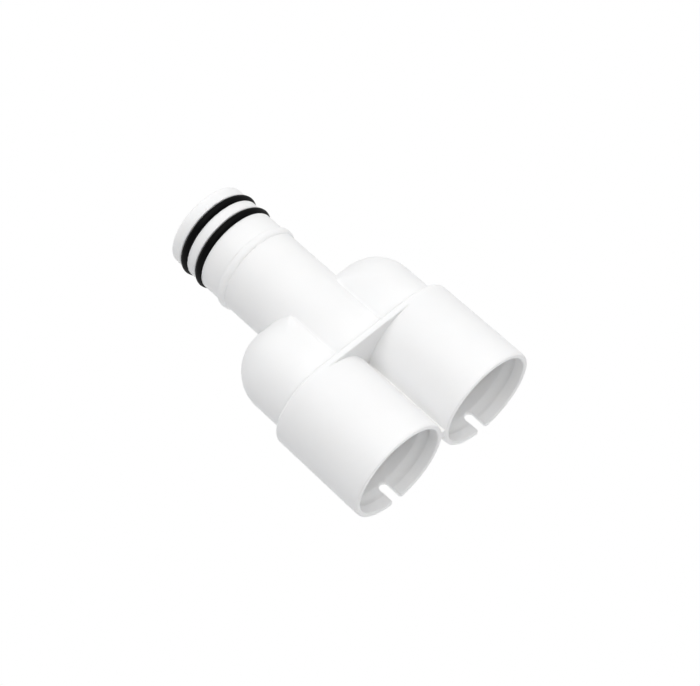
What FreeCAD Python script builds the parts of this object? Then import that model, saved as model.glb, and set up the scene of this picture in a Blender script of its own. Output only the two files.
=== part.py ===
import FreeCAD, Part
import math, os

# Tubing Y connector: one white moulded body that joins a single sealed
# spigot to two parallel hose sockets, and two black O-rings on the spigot.
# Each socket has a round-ended branch behind it, and both branches open into
# the neck.
#
# Frame: +X runs from the spigot towards the sockets, +Y from one socket to
# the other, +Z up.  The origin is under the middle of the part, on the
# surface that it lies on.  Stations along X are first written from the
# socket-side face of the flange (x = 0) and the tube axes' plane (z = 0),
# and the whole is shifted once at the end.  All sizes in millimetres.

# ---------------------------------------------------------------- dimensions
socket_pitch = 41.75        # distance between the two socket axes
socket_length = 37.45       # flange face to socket rim
socket_r_root = 20.00       # outer radius where the socket leaves the flange
socket_r_rim = 20.15        # outer radius at the rim (moulding draft)
socket_root_band = 0.80     # plain band of the socket inside the flange
rim_round_out = 0.60        # rounding of the rim's outer edge
rim_round_in = 0.45         # rounding of the rim's inner edge

mouth_r = 18.15             # flexible mouth ring, inside radius
mouth_depth = 4.15          # the mouth ring ends here, from the rim
snap_r = 18.54              # deepest radius of the rounded snap groove
snap_mid_depth = 5.90       # depth of that deepest point
snap_end_depth = 7.40       # the groove's ramp back to the bore starts here
snap_end_r = 18.29
bore_start_depth = 8.25     # the plain socket bore starts here
bore_r = 18.00              # plain bore that takes the hose cuff

slot_width = 3.60           # relief slot at the bottom of each mouth
slot_length = 8.20          # its length from the rim, with a full-round end
slot_corner_r = 1.00        # rounding of the slot's two corners at the rim

flange_t = 2.70             # obround flange that ties the two sockets
flange_r = 20.00
flange_round_back = 0.80
flange_round_front = 0.40

lobe_r = 16.60              # tube behind each socket, closed by a round end
lobe_bore_r = 14.10
lobe_centre_x = -17.00      # centre of the round end

neck_r = 16.88              # neck and spigot, outside
neck_bore_r = 12.60
spigot_end_x = -82.80
spigot_round_out = 0.50
spigot_round_in = 0.50

bead_x = (-57.90, -54.55)   # stop bead round the neck: its two feet
bead_r = 17.85              # radius at its crest
bead_crest_x = -56.75
bead_arc_r = 3.34           # its crowned top, in section

rib_half_z = 2.10           # thin web that joins the two sockets lengthways
rib_half_y = 1.50
rib_end_gap = 0.50          # it stops this far short of the rims

ring_x = (-76.43, -68.87)   # middles of the two O-rings
ring_section_d = 3.00
ring_inner_r = 14.75        # inside radius once stretched on the spigot
groove_w = 3.50
groove_floor_r = 14.73
groove_edge_round = 0.25

# whole-part shift into the part's own frame
shift_x = -(spigot_end_x + socket_length) / 2.0
# (the slots take away the very lowest line near the rims, so the part rests
# on the socket's underside at the slots' inner ends)
shift_z = socket_r_root + (socket_r_rim - socket_r_root) * (
    socket_length - slot_length) / socket_length

half_pitch = socket_pitch / 2.0
X_AXIS = FreeCAD.Vector(1, 0, 0)


# ---------------------------------------------------------------- helpers
def v(x, r, y0=0.0):
    """Point of a half section: station x, radius r, on an axis at y = y0."""
    return FreeCAD.Vector(x, y0, r)


def revolved(edges, y0=0.0):
    """Solid of revolution about the line y = y0, z = 0 of a closed section."""
    face = Part.Face(Part.Wire(edges))
    solid = face.revolve(FreeCAD.Vector(0, y0, 0), X_AXIS, 360)
    if solid.Volume < 0:
        solid.reverse()
    return solid


def line(a, b):
    return Part.makeLine(a, b)


def arc(a, m, b):
    return Part.Arc(a, m, b).toShape()


def rounded_path(points, y0=0.0):
    """Edges of a closed section.  Each point is (x, r) or (x, r, radius),
    and a radius rounds that corner."""
    n = len(points)
    pts = [FreeCAD.Vector(p[0], p[1], 0) for p in points]
    ins, outs, mids = [], [], []
    for i, p in enumerate(points):
        here = pts[i]
        rad = p[2] if len(p) > 2 else 0.0
        if rad <= 0:
            ins.append(here)
            outs.append(here)
            mids.append(None)
            continue
        a = (pts[i - 1] - here).normalize()
        b = (pts[(i + 1) % n] - here).normalize()
        half = math.acos(max(-1.0, min(1.0, a.dot(b)))) / 2.0
        d = rad / math.tan(half)
        bis = (a + b).normalize()
        centre = here + bis * (rad / math.sin(half))
        ins.append(here + a * d)
        outs.append(here + b * d)
        mids.append(centre - bis * rad)
    edges = []
    for i in range(n):
        j = (i + 1) % n
        if mids[i] is not None:
            edges.append(arc(v(ins[i].x, ins[i].y, y0), v(mids[i].x, mids[i].y, y0),
                             v(outs[i].x, outs[i].y, y0)))
        if (outs[i] - ins[j]).Length > 1e-6:
            edges.append(line(v(outs[i].x, outs[i].y, y0), v(ins[j].x, ins[j].y, y0)))
    return edges


# ---------------------------------------------------------------- outside
def socket_outside(y0):
    """Drafted socket tube with a rounded rim, solid for now.  Its root is a
    short plain band that lies inside the flange."""
    return revolved(rounded_path([
        (-socket_root_band, 0.0),
        (-socket_root_band, socket_r_root),
        (0.0, socket_r_root),
        (socket_length, socket_r_rim, rim_round_out),
        (socket_length, 0.0),
    ], y0), y0)


def flange():
    """Obround plate: two half rounds joined by straight sides."""
    r, h = flange_r, half_pitch
    x = -flange_t

    def p(y, z):
        return FreeCAD.Vector(x, y, z)

    wire = Part.Wire([
        line(p(-h, r), p(h, r)),
        arc(p(h, r), p(h + r, 0), p(h, -r)),
        line(p(h, -r), p(-h, -r)),
        arc(p(-h, -r), p(-h - r, 0), p(-h, r)),
    ])
    plate = Part.Face(wire).extrude(FreeCAD.Vector(flange_t, 0, 0))

    def at(station):
        return [e for e in plate.Edges
                if abs(e.BoundBox.XMin - station) < 1e-4
                and abs(e.BoundBox.XMax - station) < 1e-4]

    plate = plate.makeFillet(flange_round_back, at(x))
    return plate.makeFillet(flange_round_front, at(0.0))


def round_ended_tube(y0, r, x1):
    """Tube of radius r from the round end to station x1.  Away from the
    spigot its end is a quarter ball; towards the spigot the end is a half
    round seen from the side, so that it runs straight into the neck."""
    c = lobe_centre_x
    side = 1.0 if y0 > 0 else -1.0
    q = r * math.sqrt(0.5)

    def p(x, y, z):
        return FreeCAD.Vector(x, y0 + side * y, z)

    tube = Part.makeCylinder(r, x1 - c, FreeCAD.Vector(c, y0, 0), X_AXIS)
    quarter = Part.Face(Part.Wire([
        arc(p(c - r, 0, 0), p(c - q, 0, q), p(c, 0, r)),
        line(p(c, 0, r), p(c, 0, 0)),
        line(p(c, 0, 0), p(c - r, 0, 0)),
    ]))
    ball = quarter.revolve(FreeCAD.Vector(0, y0, 0), FreeCAD.Vector(-side, 0, 0), 180)
    if ball.Volume < 0:
        ball.reverse()
    along = Part.Face(Part.Wire([
        arc(p(c, 0, r), p(c, -r, 0), p(c, 0, -r)),
        line(p(c, 0, -r), p(c, 0, r)),
    ])).extrude(FreeCAD.Vector(-r - 1.0, 0, 0))
    across = Part.Face(Part.Wire([
        arc(p(c, 0, r), p(c - r, 0, 0), p(c, 0, -r)),
        line(p(c, 0, -r), p(c, 0, r)),
    ])).extrude(FreeCAD.Vector(0, -side * (r + 1.0), 0))
    return tube.fuse(ball).fuse(along.common(across)).removeSplitter()


def rib():
    """Thin web between the two sockets, from the flange almost to the rims."""
    x0 = -flange_t / 2.0
    return Part.makeBox(socket_length - rib_end_gap - x0, 2 * rib_half_y, 2 * rib_half_z,
                        FreeCAD.Vector(x0, -rib_half_y, -rib_half_z))


def bead_top(x):
    """Radius of the bead's crowned top at station x."""
    return bead_r - bead_arc_r + math.sqrt(bead_arc_r ** 2 - (x - bead_crest_x) ** 2)


def neck_outside():
    """Neck and spigot with the two O-ring grooves."""
    g = groove_w / 2.0
    pts = [(spigot_end_x, 0.0), (spigot_end_x, neck_r, spigot_round_out)]
    for rx in ring_x:
        pts += [(rx - g, neck_r, groove_edge_round), (rx - g, groove_floor_r, 0.3),
                (rx + g, groove_floor_r, 0.3), (rx + g, neck_r, groove_edge_round)]
    pts += [(-1.0, neck_r), (-1.0, 0.0)]
    return revolved(rounded_path(pts))


def stop_bead():
    """Bead with a steep foot on the spigot's side and a long crown that falls
    towards the sockets."""
    x0, x1 = bead_x
    base = neck_r - 1.0
    xa = x0 + 0.45
    return revolved([
        line(v(x0, base), v(x0, 17.25)),
        arc(v(x0, 17.25), v(x0 + 0.12, 17.55), v(xa, bead_top(xa))),
        arc(v(xa, bead_top(xa)), v(bead_crest_x, bead_r), v(x1, bead_top(x1))),
        line(v(x1, bead_top(x1)), v(x1, base)),
        line(v(x1, base), v(x0, base)),
    ])


# ---------------------------------------------------------------- inside
def socket_inside(y0):
    """Everything a hose cuff enters: mouth ring, rounded snap groove, ramp
    and plain bore down to the stop shoulder at the flange face."""
    L = socket_length
    e = 0.5
    k = rim_round_in
    q = k * (1.0 - math.sqrt(0.5))
    snap = Part.Arc(v(L - mouth_depth, mouth_r, y0), v(L - snap_mid_depth, snap_r, y0),
                    v(L - snap_end_depth, snap_end_r, y0)).toShape()
    return revolved([
        line(v(L + e, 0, y0), v(L + e, mouth_r + k, y0)),
        line(v(L + e, mouth_r + k, y0), v(L, mouth_r + k, y0)),
        arc(v(L, mouth_r + k, y0), v(L - q, mouth_r + q, y0), v(L - k, mouth_r, y0)),
        line(v(L - k, mouth_r, y0), v(L - mouth_depth, mouth_r, y0)),
        snap,
        line(v(L - snap_end_depth, snap_end_r, y0), v(L - bore_start_depth, bore_r, y0)),
        line(v(L - bore_start_depth, bore_r, y0), v(0, bore_r, y0)),
        line(v(0, bore_r, y0), v(0, 0, y0)),
        line(v(0, 0, y0), v(L + e, 0, y0)),
    ], y0)


def neck_inside():
    """Straight bore from the spigot's end to the back of the flange."""
    k = spigot_round_in
    q = k * (1.0 - math.sqrt(0.5))
    r = neck_bore_r
    x = spigot_end_x
    return revolved([
        line(v(x - 0.5, 0), v(x - 0.5, r + k)),
        line(v(x - 0.5, r + k), v(x, r + k)),
        arc(v(x, r + k), v(x + q, r + q), v(x + k, r)),
        line(v(x + k, r), v(-flange_t, r)),
        line(v(-flange_t, r), v(-flange_t, 0)),
        line(v(-flange_t, 0), v(x - 0.5, 0)),
    ])


def slot_cutter(y0):
    """Relief slot through the bottom of a mouth: straight sides, full-round
    inner end and rounded corners where it opens on the rim."""
    L = socket_length
    w = slot_width / 2.0
    c = slot_corner_r
    e = 0.5
    q = c * (1.0 - math.sqrt(0.5))
    z = -(socket_r_rim + 1.0)
    xe = L - slot_length + w

    def p(x, y):
        return FreeCAD.Vector(x, y0 + y, z)

    wire = Part.Wire([
        line(p(L + e, w + c), p(L, w + c)),
        arc(p(L, w + c), p(L - q, w + q), p(L - c, w)),
        line(p(L - c, w), p(xe, w)),
        arc(p(xe, w), p(xe - w, 0), p(xe, -w)),
        line(p(xe, -w), p(L - c, -w)),
        arc(p(L - c, -w), p(L - q, -w - q), p(L, -w - c)),
        line(p(L, -w - c), p(L + e, -w - c)),
        line(p(L + e, -w - c), p(L + e, w + c)),
    ])
    return Part.Face(wire).extrude(FreeCAD.Vector(0, 0, 6.0))


# ---------------------------------------------------------------- body
outside = flange()
for side in (-half_pitch, half_pitch):
    outside = outside.fuse(socket_outside(side))
outside = outside.removeSplitter()

for side in (-half_pitch, half_pitch):
    outside = outside.fuse(round_ended_tube(side, lobe_r, -1.0))
outside = outside.fuse(neck_outside().fuse(stop_bead()))
outside = outside.fuse(rib())

body = outside
for side in (-half_pitch, half_pitch):
    body = body.cut(socket_inside(side))
    body = body.cut(round_ended_tube(side, lobe_bore_r, 1.0))
    body = body.cut(slot_cutter(side))
body = body.cut(neck_inside())
body = body.removeSplitter()
body = body.Solids[0]


def o_ring(x):
    """Round-section ring lying in its groove."""
    rho = ring_section_d / 2.0
    return Part.makeTorus(ring_inner_r + rho, rho, FreeCAD.Vector(x, 0, 0), X_AXIS)


parts = {
    "y_body": body,
    "o_ring_front": o_ring(ring_x[0]),
    "o_ring_rear": o_ring(ring_x[1]),
}

os.makedirs("parts", exist_ok=True)
for name, shape in parts.items():
    shape = shape.copy()
    shape.translate(FreeCAD.Vector(shift_x, 0, shift_z))
    shape.exportStep(os.path.join("parts", name + ".step"))
    bb = shape.BoundBox
    print("%-14s valid=%s solids=%d volume=%.1f x %.3f..%.3f y %.3f..%.3f z %.3f..%.3f"
          % (name, shape.isValid(), len(shape.Solids), shape.Volume,
             bb.XMin, bb.XMax, bb.YMin, bb.YMax, bb.ZMin, bb.ZMax))
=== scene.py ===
import bpy
import math
import numpy as np
from mathutils import Matrix, Vector


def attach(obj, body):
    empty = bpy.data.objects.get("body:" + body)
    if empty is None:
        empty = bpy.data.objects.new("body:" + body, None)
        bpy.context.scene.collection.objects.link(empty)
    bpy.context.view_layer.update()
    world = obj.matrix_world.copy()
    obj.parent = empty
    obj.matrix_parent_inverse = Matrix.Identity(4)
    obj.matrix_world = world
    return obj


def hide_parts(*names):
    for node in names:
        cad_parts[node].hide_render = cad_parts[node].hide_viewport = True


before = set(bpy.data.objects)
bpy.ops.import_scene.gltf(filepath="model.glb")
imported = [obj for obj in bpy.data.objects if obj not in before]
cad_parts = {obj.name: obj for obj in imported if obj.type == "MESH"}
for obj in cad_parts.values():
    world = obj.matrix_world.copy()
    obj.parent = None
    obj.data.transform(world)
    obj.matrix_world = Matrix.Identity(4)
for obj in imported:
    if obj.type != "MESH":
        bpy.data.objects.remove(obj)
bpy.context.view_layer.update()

# The shapes below are written in millimetres about the flange's socket-side
# face (x = 0) and the plane of the tube axes (z = 0), and then placed in the
# part's own frame, in metres.
SHIFT = np.array([22.675, 0.0, 20.1171562])
S = 20.875          # half the distance between the socket axes
L = 37.45           # socket length


# ------------------------------------------------------------------ shape
def rmin(a, b, r):
    """Union with a round fillet of radius r."""
    u = np.maximum(r - a, 0.0)
    w = np.maximum(r - b, 0.0)
    return np.maximum(r, np.minimum(a, b)) - np.sqrt(u * u + w * w)


def rmax(a, b, r):
    """Intersection with a rounded edge of radius r."""
    u = np.maximum(r + a, 0.0)
    w = np.maximum(r + b, 0.0)
    return np.minimum(-r, np.maximum(a, b)) + np.sqrt(u * u + w * w)


def ease(t):
    t = np.clip(t, 0.0, 1.0)
    return t * t * (3.0 - 2.0 * t)


def circle_through(a, m, b):
    (x1, y1), (x2, y2), (x3, y3) = a, m, b
    d = 2 * (x1 * (y2 - y3) + x2 * (y3 - y1) + x3 * (y1 - y2))
    q1, q2, q3 = x1**2 + y1**2, x2**2 + y2**2, x3**2 + y3**2
    cx = (q1 * (y2 - y3) + q2 * (y3 - y1) + q3 * (y1 - y2)) / d
    cy = (q1 * (x3 - x2) + q2 * (x1 - x3) + q3 * (x2 - x1)) / d
    return cx, cy, math.hypot(x1 - cx, y1 - cy)


# a socket's inside radius against the depth from its rim: mouth ring, rounded
# snap groove, ramp and plain bore
MOUTH_D, MOUTH_R = 4.15, 18.15
SNAP = ((4.15, 18.15), (5.90, 18.54), (7.40, 18.29))
BORE_D, BORE_R = 8.25, 18.00
cx, cy, cr = circle_through(*SNAP)
DEPTH = np.linspace(-2.0, L + 2.0, 4000)
INSIDE = np.where(
    DEPTH < MOUTH_D, MOUTH_R, np.where(
        DEPTH < SNAP[2][0], cy + np.sqrt(np.maximum(cr**2 - (DEPTH - cx) ** 2, 0)), np.where(
            DEPTH < BORE_D,
            SNAP[2][1] + (BORE_R - SNAP[2][1]) * (DEPTH - SNAP[2][0]) / (BORE_D - SNAP[2][0]),
            BORE_R)))
kernel = np.exp(-0.5 * (np.arange(-30, 31) * (DEPTH[1] - DEPTH[0]) / 0.13) ** 2)
kernel /= kernel.sum()
INSIDE = np.convolve(np.pad(INSIDE, 30, mode="edge"), kernel, mode="valid")
INSIDE_SLOPE = np.gradient(INSIDE, DEPTH)


def round_ended(x, ay, z, r, soft):
    """Tube of radius r behind a socket.  Its end is a quarter ball on the
    outer side, and a half round seen from the side on the neck's side."""
    back = np.minimum(x + 17.00, 0.0) ** 2
    u = ay - S
    out = np.maximum(u, 0.0) ** 2
    own = np.sqrt(u * u + z * z + np.where(u > 0, back, 0.0)) - r
    end = np.sqrt(back + z * z + out) - r
    step_in = np.clip(-u / 9.0, 0.0, 1.0)
    return rmax(own, end, 0.004 + soft * step_in * step_in * (3.0 - 2.0 * step_in))


def body(x, y, z):
    """Signed distance to the moulded body in millimetres, negative inside."""
    ay = np.abs(y)
    rs = np.sqrt((ay - S) ** 2 + z * z)            # from the nearer socket's axis
    rn = np.sqrt(y * y + z * z)                    # from the spigot's axis

    # socket tube with draft; its rim is rounded over 1.8 mm along the tube
    # and 0.45 mm across the wall
    lip = np.clip((x - L + 1.8) / 1.8, 0.0, 0.97)
    low = np.sqrt(1.0 - lip * lip)
    fall = 0.25 * lip / low
    sock = rs - (20.0 + np.clip(x, 0, None) * (0.15 / L)) + 0.45 * (1.0 - low)
    sock = rmax(sock / np.sqrt(1.0 + fall * fall), x - L, 0.22)
    sock = np.maximum(sock, -0.8 - x)
    # obround flange
    ro = np.sqrt(np.maximum(ay - S, 0.0) ** 2 + z * z)
    flange = rmax(ro - 20.0, -2.7 - x, 1.20)
    flange = rmax(flange, x, 0.40)
    # branch tube with its half-ball end
    lobe = np.maximum(round_ended(x, ay, z, 16.60, 1.1), x + 1.0)
    # neck and spigot: two ring grooves and the stop bead
    neck = rmax(rn - 16.88, -82.80 - x, 0.30)
    for gx in (-76.43, -68.87):
        void = rmax(np.abs(x - gx) - 1.75, 14.73 - rn, 0.30)
        neck = rmax(neck, -void, 0.22)
    bead = np.sqrt((x + 56.80) ** 2 + (rn - 14.85) ** 2) - 3.00
    bead = rmax(bead, -57.90 - x, 0.45)
    bead = rmax(bead, x + 54.78, 0.10)
    neck = rmin(neck, bead, 0.12)
    neck = np.maximum(neck, x + 1.0)

    between = ease((S - 1.0 - ay) / 5.0)           # 1 between the sockets
    out = rmin(sock, flange, 0.02 + 0.16 * between)
    out = rmin(out, rmin(lobe, neck, 0.22), 0.30)
    # web between the two sockets, a little short of the rims
    web = rmax(rmax(ay - 1.50, np.abs(z) - 2.10, 0.10), x - L + 0.50, 0.25)
    out = rmin(out, np.maximum(web, -1.35 - x), 0.25)

    # the hollow: sockets, branches and spigot
    d = L - x
    slope = np.interp(d, DEPTH, INSIDE_SLOPE)
    cav = (rs - np.interp(d, DEPTH, INSIDE)) / np.sqrt(1.0 + slope * slope)
    cav = rmax(cav, -x, 0.25)
    lb = np.maximum(round_ended(x, ay, z, 14.10, 0.8), x - 1.0)
    nb = rmax(rn - 12.60, x + 2.7, 0.5)
    hol = rmin(rmin(lb, nb, 0.40), cav, 0.30)
    out = rmax(out, -hol, 0.35 + 0.10 * ease((x - L + 3.0) / 2.0))

    # relief slots at the bottom of the mouths
    ys = ay - S
    xe = L - 8.20 + 1.8
    slot = np.sqrt(np.minimum(x - xe, 0.0) ** 2 + ys * ys) - 1.8
    slot = rmin(slot, L - x, 1.0)
    slot = np.maximum(slot, np.abs(ys) - 3.0)
    slot = np.maximum(slot, z + 12.0)
    rho = 0.02 + 0.20 * (1.0 - ease((np.abs(ys) - 1.8) / 0.8))
    return rmax(out, -slot, rho)


def gradient(p, h=0.01):
    g = np.empty_like(p)
    for k in range(3):
        a = p.copy()
        a[:, k] += h
        b = p.copy()
        b[:, k] -= h
        g[:, k] = (body(*a.T) - body(*b.T)) / (2 * h)
    return g


def onto_surface(p, rounds=4):
    """Moves each point straight on to the body's surface."""
    for _ in range(rounds):
        f = body(*p.T)
        g = gradient(p)
        move = (f / np.maximum((g * g).sum(1), 0.05))[:, None] * g
        length = np.sqrt((move**2).sum(1))
        far = length > 0.3
        move[far] *= (0.3 / length[far])[:, None]
        p = p - move
    return p


def surface_quads(h):
    """A closed quad mesh of the body: one vertex in each grid cell that the
    surface crosses, and one quad round each grid edge that it crosses."""
    axes = [np.arange(-84.013, L + 1.6, h), np.arange(-42.417, 42.4 + h, h),
            np.arange(-21.411, 21.4 + h, h)]
    nx, ny, nz = (len(a) for a in axes)
    value = np.empty((nx, ny, nz), np.float32)
    gy, gz = np.meshgrid(axes[1], axes[2], indexing="ij")
    for i, x in enumerate(axes[0]):
        value[i] = body(np.full_like(gy, x), gy, gz)
    neg = value < 0
    count = np.zeros((nx - 1, ny - 1, nz - 1), np.int8)
    for dx in (0, 1):
        for dy in (0, 1):
            for dz in (0, 1):
                count += neg[dx:nx - 1 + dx, dy:ny - 1 + dy, dz:nz - 1 + dz]
    active = (count > 0) & (count < 8)
    index = -np.ones(active.shape, np.int32)
    cells = np.argwhere(active)
    index[active] = np.arange(len(cells))
    total = np.zeros((len(cells), 3))
    hits = np.zeros(len(cells))
    i, j, k = cells.T
    for axis in range(3):
        u, w = [a for a in range(3) if a != axis]
        for du in (0, 1):
            for dw in (0, 1):
                o = [0, 0, 0]
                o[u], o[w] = du, dw
                a = value[i + o[0], j + o[1], k + o[2]]
                q = np.tile(np.array(o, float), (len(cells), 1))
                o[axis] = 1
                b = value[i + o[0], j + o[1], k + o[2]]
                crossed = (a < 0) != (b < 0)
                q[:, axis] = np.where(crossed, a / np.where(crossed, a - b, 1), 0)
                total += q * crossed[:, None]
                hits += crossed
    points = (cells + total / hits[:, None]) * h + np.array([a[0] for a in axes])
    quads = []
    for axis in range(3):
        low = [slice(1, -1)] * 3
        high = [slice(1, -1)] * 3
        low[axis], high[axis] = slice(0, -1), slice(1, None)
        first = neg[tuple(low)]
        edge = np.argwhere(first != neg[tuple(high)])
        outward = first[tuple(edge.T)]
        base = edge.copy()
        u, w = [a for a in range(3) if a != axis]
        base[:, u] += 1
        base[:, w] += 1

        def cell(du, dw):
            q = base.copy()
            q[:, u] -= du
            q[:, w] -= dw
            return index[tuple(q.T)]

        quad = np.stack([cell(0, 0), cell(1, 0), cell(1, 1), cell(0, 1)], 1)
        keep = outward if axis != 1 else ~outward
        quad[~keep] = quad[~keep][:, ::-1]
        quads.append(quad)
    return points, np.concatenate(quads)


def mesh_from(name, points, faces):
    mesh = bpy.data.meshes.new(name)
    mesh.from_pydata([], [], [])
    n = faces.shape[1]
    mesh.vertices.add(len(points))
    mesh.vertices.foreach_set("co", np.ascontiguousarray(points, np.float32).ravel())
    mesh.loops.add(faces.size)
    mesh.loops.foreach_set("vertex_index", np.ascontiguousarray(faces, np.int32).ravel())
    mesh.polygons.add(len(faces))
    mesh.polygons.foreach_set("loop_start", np.arange(0, faces.size, n, dtype=np.int32))
    mesh.polygons.foreach_set("use_smooth", np.ones(len(faces), bool))
    mesh.update(calc_edges=True)
    return mesh


def show(name, mesh):
    obj = bpy.data.objects.new(name, mesh)
    bpy.context.scene.collection.objects.link(obj)
    return obj


def thinned(obj, ratio):
    """obj's mesh with fewer triangles, most of them where the shape bends."""
    mod = obj.modifiers.new("thin", "DECIMATE")
    mod.ratio = ratio
    bpy.context.view_layer.update()
    dg = bpy.context.evaluated_depsgraph_get()
    mesh = bpy.data.meshes.new_from_object(obj.evaluated_get(dg))
    obj.modifiers.clear()
    return mesh


# ------------------------------------------------------------------ body
points, quads = surface_quads(0.45)
points = onto_surface(points)
dense = show("dense", mesh_from("dense", points, quads))
tri_target = 176000
mesh = thinned(dense, tri_target / (2.0 * len(quads)))
bpy.data.objects.remove(dense)
co = np.empty(len(mesh.vertices) * 3, np.float32)
mesh.vertices.foreach_get("co", co)
co = onto_surface(co.reshape(-1, 3).astype(float), 3)
nrm = gradient(co, 0.02)
nrm /= np.maximum(np.sqrt((nrm**2).sum(1)), 1e-9)[:, None]
mesh.vertices.foreach_set("co", ((co + SHIFT) / 1000.0).astype(np.float32).ravel())
mesh.polygons.foreach_set("use_smooth", np.ones(len(mesh.polygons), bool))
mesh.update()
mesh.normals_split_custom_set_from_vertices(nrm.astype(np.float32))
mesh.name = "moulded_body"
moulded = show("moulded_body", mesh)
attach(moulded, "root")
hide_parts("y_body")


# ------------------------------------------------------------------ O-rings
def o_ring(name, x, node):
    """Round-section rubber ring.  A hair-fine mould line runs round its outside, at the middle of its width."""
    n, m = 320, 64
    rho, rc = 1.5, 16.25
    t = np.arange(n) * 2 * np.pi / n
    a = np.arange(m) * 2 * np.pi / m
    T, A = np.meshgrid(t, a, indexing="ij")
    rise = 0.0
    flash = 0.030 * np.exp(-0.5 * (np.angle(np.exp(1j * A)) / 0.055) ** 2)
    r = rho - 0.030 + flash + rise
    R = rc + r * np.cos(A)
    p = np.stack([x + r * np.sin(A), R * np.cos(T), R * np.sin(T)], -1).reshape(-1, 3)
    i, j = np.meshgrid(np.arange(n), np.arange(m), indexing="ij")
    i2, j2 = (i + 1) % n, (j + 1) % m
    q = np.stack([i * m + j, i * m + j2, i2 * m + j2, i2 * m + j], -1).reshape(-1, 4)
    me = mesh_from(name, (p + SHIFT) / 1000.0, q)
    ob = show(name, me)
    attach(ob, "root")
    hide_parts(node)
    return ob


ring_a = o_ring("sealing_ring_front", -76.43, "o_ring_front")
ring_b = o_ring("sealing_ring_rear", -68.87, "o_ring_rear")


# ------------------------------------------------------------------ materials
def new_material(name):
    mat = bpy.data.materials.new(name)
    mat.use_nodes = True
    tree = mat.node_tree
    return mat, tree, tree.nodes["Principled BSDF"]


def noise(tree, vec, scale, detail=2.0, rough=0.5):
    n = tree.nodes.new("ShaderNodeTexNoise")
    n.inputs["Scale"].default_value = scale
    n.inputs["Detail"].default_value = detail
    n.inputs["Roughness"].default_value = rough
    tree.links.new(vec, n.inputs["Vector"])
    return n.outputs["Fac"]


def ramp(tree, fac, stops):
    r = tree.nodes.new("ShaderNodeValToRGB")
    el = r.color_ramp.elements
    while len(el) < len(stops):
        el.new(0.5)
    for e, (pos, col) in zip(el, stops):
        e.position = pos
        e.color = (*col, 1.0)
    tree.links.new(fac, r.inputs["Fac"])
    return r.outputs["Color"]


def remap(tree, fac, lo, hi, to_lo, to_hi):
    r = tree.nodes.new("ShaderNodeMapRange")
    for k, val in (("From Min", lo), ("From Max", hi), ("To Min", to_lo), ("To Max", to_hi)):
        r.inputs[k].default_value = val
    tree.links.new(fac, r.inputs["Value"])
    return r.outputs["Result"]


def bump(tree, height, distance, strength, after=None):
    b = tree.nodes.new("ShaderNodeBump")
    b.inputs["Distance"].default_value = distance
    b.inputs["Strength"].default_value = strength
    tree.links.new(height, b.inputs["Height"])
    if after is not None:
        tree.links.new(after, b.inputs["Normal"])
    return b.outputs["Normal"]


# white moulded plastic: satin, faint clouding and moulding ripple
plastic, tree, bsdf = new_material("white_plastic")
coord = tree.nodes.new("ShaderNodeTexCoord").outputs["Object"]
cloud = noise(tree, coord, 55.0, 3.0, 0.55)
tree.links.new(ramp(tree, cloud, [(0.30, (0.846, 0.847, 0.848)), (0.70, (0.862, 0.863, 0.864))]),
               bsdf.inputs["Base Color"])
fine = noise(tree, coord, 1500.0, 2.0, 0.6)
tree.links.new(remap(tree, fine, 0.3, 0.7, 0.46, 0.56), bsdf.inputs["Roughness"])
ripple = noise(tree, coord, 160.0, 1.0, 0.4)
n1 = bump(tree, ripple, 0.00002, 0.6)
n2 = bump(tree, noise(tree, coord, 3500.0, 2.0, 0.6), 0.000004, 0.5, n1)
tree.links.new(n2, bsdf.inputs["Normal"])
bsdf.inputs["Specular IOR Level"].default_value = 0.15
bsdf.inputs["IOR"].default_value = 1.5
bsdf.inputs["Subsurface Weight"].default_value = 0.50
bsdf.inputs["Subsurface Radius"].default_value = (1.0, 0.97, 0.94)
bsdf.inputs["Subsurface Scale"].default_value = 0.0024
moulded.data.materials.clear()
moulded.data.materials.append(plastic)

# black rubber: near black, soft sheen, fine grain
rubber, tree, bsdf = new_material("black_rubber")
coord = tree.nodes.new("ShaderNodeTexCoord").outputs["Object"]
tree.links.new(ramp(tree, noise(tree, coord, 260.0, 3.0, 0.6),
                    [(0.30, (0.0012, 0.0012, 0.0013)), (0.75, (0.0030, 0.0030, 0.0032))]),
               bsdf.inputs["Base Color"])
tree.links.new(remap(tree, noise(tree, coord, 900.0, 3.0, 0.6), 0.3, 0.7, 0.46, 0.60),
               bsdf.inputs["Roughness"])
tree.links.new(bump(tree, noise(tree, coord, 2600.0, 3.0, 0.6), 0.00001, 0.5),
               bsdf.inputs["Normal"])
bsdf.inputs["Specular IOR Level"].default_value = 0.07
for ring in (ring_a, ring_b):
    ring.data.materials.clear()
    ring.data.materials.append(rubber)

# ------------------------------------------------------------------ camera
f, az, el, roll, dist, tx, ty = 2193.994, 43.542, 56.387, 3.285, 757.596, -5.91, 8.431
a, e, ro = (math.radians(t) for t in (az, el, roll))
back = Vector((math.sin(a) * math.cos(e), -math.cos(a) * math.cos(e), math.sin(e)))
fwd = -back
right = fwd.cross(Vector((0, 0, 1))).normalized()
up = right.cross(fwd)
r2 = math.cos(ro) * right + math.sin(ro) * up
u2 = -math.sin(ro) * right + math.cos(ro) * up
eye = back * dist + r2 * tx + u2 * ty + Vector(SHIFT)
cam_data = bpy.data.cameras.new("camera")
cam_data.sensor_fit = "HORIZONTAL"
cam_data.sensor_width = 36.0
cam_data.lens = f / 700.0 * 36.0
cam_data.clip_start = 0.01
cam_data.clip_end = 20.0
cam = bpy.data.objects.new("camera", cam_data)
bpy.context.scene.collection.objects.link(cam)
rot = Matrix((r2, u2, back)).transposed().to_4x4()
cam.matrix_world = Matrix.Translation(eye / 1000.0) @ rot
bpy.context.scene.camera = cam

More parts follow.
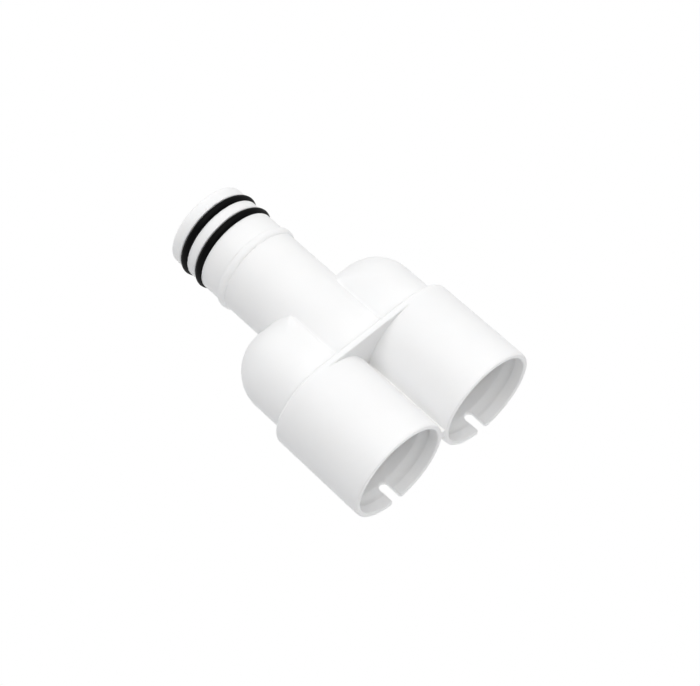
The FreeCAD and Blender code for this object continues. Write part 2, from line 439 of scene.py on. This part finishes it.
# ------------------------------------------------------------------ stage
size = 6.0
floor_mesh = bpy.data.meshes.new("floor")
floor_mesh.from_pydata([(-size, -size, 0), (size, -size, 0), (size, size, 0), (-size, size, 0)], [], [(0, 1, 2, 3)])
floor = show("floor", floor_mesh)
floor.location = (0, 0, -0.0004)
pale, tree, bsdf = new_material("pale_floor")
bsdf.inputs["Base Color"].default_value = (0.0, 0.0, 0.0, 1)
bsdf.inputs["Roughness"].default_value = 1.0
bsdf.inputs["Specular IOR Level"].default_value = 0.0
bsdf.inputs["Emission Color"].default_value = (1, 1, 1, 1)
bsdf.inputs["Emission Strength"].default_value = 1.0
floor_mesh.materials.append(pale)

# ------------------------------------------------------------------ light
target = Vector((0.0, 0.0, 0.02))
world = bpy.data.worlds.new("studio")
world.use_nodes = True
world.node_tree.nodes["Background"].inputs["Color"].default_value = (1, 1, 1, 1)
world.node_tree.nodes["Background"].inputs["Strength"].default_value = 0.15
bpy.context.scene.world = world


def softbox(name, azimuth, elevation, distance, width, power, colour=(1, 1, 1)):
    data = bpy.data.lights.new(name, "AREA")
    data.shape = "SQUARE"
    data.size = width
    data.energy = power
    data.color = colour
    ob = bpy.data.objects.new(name, data)
    bpy.context.scene.collection.objects.link(ob)
    ta, te = math.radians(azimuth), math.radians(elevation)
    d = Vector((math.sin(ta) * math.cos(te), -math.cos(ta) * math.cos(te), math.sin(te)))
    ob.location = target + d * distance
    ob.rotation_euler = (-d).to_track_quat("-Z", "Y").to_euler()
    return ob


for name, azimuth, elevation, power in (
        ("box_upper_060", 60, 70, (4.02, 3.82, 3.53)),
        ("box_upper_300", 300, 70, (6.14, 6.16, 6.00)),
        ("box_high_045", 45, 52, (0.85, 1.02, 1.22)),
        ("box_high_090", 90, 52, (1.14, 1.03, 0.96)),
        ("box_high_135", 135, 52, (1.77, 1.90, 2.04)),
        ("box_high_180", 180, 52, (2.29, 2.27, 2.34)),
        ("box_high_315", 315, 52, (0.03, 0.03, 0.23)),
        ("box_low_180", 180, 22, (0.51, 0.53, 0.52)),
        ("box_low_225", 225, 22, (0.48, 0.46, 0.45)),
        ("box_low_270", 270, 22, (1.76, 1.80, 1.81))):
    most = max(power)
    softbox(name, azimuth, elevation, 1.2, 0.7, most, [p / most for p in power])

view = bpy.context.scene.view_settings
view.view_transform = "Standard"
view.look = "None"
view.exposure = 0.0
view.gamma = 1.0
